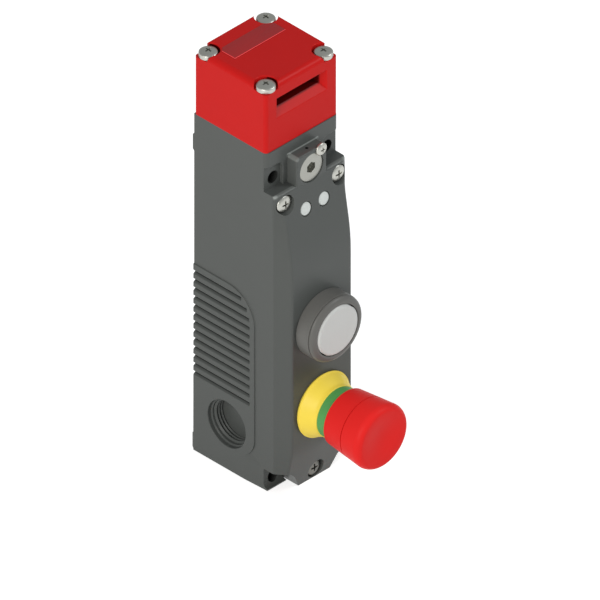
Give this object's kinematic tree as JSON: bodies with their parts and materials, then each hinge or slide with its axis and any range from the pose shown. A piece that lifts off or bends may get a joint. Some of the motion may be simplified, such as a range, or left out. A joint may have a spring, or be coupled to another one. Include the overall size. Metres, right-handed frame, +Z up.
{
  "type": "tongue interlock switch",
  "caption": "Slim guard-locking tongue switch with a red key head, ribbed grey body, round push button and mushroom emergency stop.",
  "frame": {"origin": "centre of the four mounting holes, on the mounting face", "axes": "+Z up towards the head, +Y back towards the guard post, +X to the right seen from the front"},
  "size_m": [0.041, 0.0873, 0.1927],
  "materials": {
    "die_cast_grey": "smooth dark grey powder coat",
    "head_red": "satin red coat",
    "estop_red": "satin moulded plastic",
    "estop_yellow": "satin moulded plastic",
    "estop_green": "satin moulded plastic",
    "lens_white": "translucent white, unlit",
    "window_white": "translucent white, unlit",
    "bezel_grey": "satin moulded plastic",
    "zinc_steel": "zinc plated",
    "spring_steel": "drawn wire",
    "tool_steel": "ground and hardened",
    "bronze": "sintered bearing bronze",
    "copper_winding": "enamelled copper wire",
    "black_plastic": "moulded, inside the housing",
    "cream_plastic": "moulded, inside the housing",
    "seal_rubber": "nitrile seal",
    "board_green": "circuit board"
  },
  "bodies": {
    "housing": {"base_housing": "die_cast_grey", "front_cover": "die_cast_grey", "cover_gasket": "seal_rubber", "cover_screws": "zinc_steel", "head_housing": "head_red", "head_gasket": "seal_rubber", "head_screws": "zinc_steel", "rotor_pin": "tool_steel", "rod_bush": "bronze", "rod_spring": "spring_steel", "armature_spring": "spring_steel", "solenoid_bobbin": "black_plastic", "solenoid_winding": "copper_winding", "solenoid_yoke": "zinc_steel", "yoke_screws": "zinc_steel", "switch_block": "cream_plastic", "switch_terminal_screws": "zinc_steel", "block_screws": "zinc_steel", "earth_screw": "zinc_steel", "led_windows": "window_white", "led_board": "board_green", "board_screws": "zinc_steel", "release_seal": "seal_rubber", "tamper_screw": "zinc_steel", "button_bezel": "bezel_grey", "button_spring": "spring_steel", "button_lock_nut": "black_plastic", "button_contact_block": "black_plastic", "estop_bezel": "estop_yellow", "estop_collar": "estop_green", "estop_body": "black_plastic", "estop_spring": "spring_steel", "estop_lock_nut": "black_plastic", "estop_contact_block": "black_plastic"},
    "button": {"button_lens": "lens_white", "button_plunger": "black_plastic"},
    "estop_plunger": {"estop_stem": "black_plastic"},
    "estop_head": {"estop_knob": "estop_red", "estop_knob_cap": "estop_red"},
    "release": {"release_disc": "zinc_steel", "release_shaft": "zinc_steel"},
    "rotor": {"head_cam_rotor": "tool_steel"},
    "rod": {"actuating_rod": "tool_steel"},
    "lock": {"lock_bolt": "tool_steel", "solenoid_armature": "tool_steel"}
  },
  "joints": [
    {"name": "button_press", "type": "slide", "parent": "housing", "child": "button", "axis": [0, 1, 0], "range_m": [0, 0.003], "stiffness_N_per_m": 600, "springref_m": -0.004, "deforming": ["button_spring"]},
    {"name": "estop_press", "type": "slide", "parent": "housing", "child": "estop_plunger", "axis": [0, 1, 0], "range_m": [0, 0.0045], "deforming": ["estop_spring"]},
    {"name": "estop_twist", "type": "hinge", "parent": "estop_plunger", "child": "estop_head", "pos_m": [0, -0.0651, -0.0385], "axis": [0, 1, 0], "range_deg": [0, 45], "stiffness_Nm_per_rad": 0.05},
    {"name": "release_turn", "type": "hinge", "parent": "housing", "child": "release", "pos_m": [0, -0.0459, 0.072], "axis": [0, 1, 0], "range_deg": [0, 180]},
    {"name": "rotor_turn", "type": "hinge", "parent": "housing", "child": "rotor", "pos_m": [0, -0.0208, 0.0975], "axis": [-1, 0, 0], "range_deg": [0, 50]},
    {"name": "rod_lift", "type": "slide", "parent": "housing", "child": "rod", "axis": [0, 0, 1], "range_m": [0, 0.00401], "deforming": ["rod_spring"]},
    {"name": "lock_slide", "type": "slide", "parent": "housing", "child": "lock", "axis": [0, -1, 0], "range_m": [0, 0.0032], "stiffness_N_per_m": 200, "springref_m": -0.004, "deforming": ["armature_spring"]}
  ],
  "couplings": [
    {"joint": "rod_lift", "follows": "rotor_turn", "m_per_rad": 0.0045837}
  ]
}
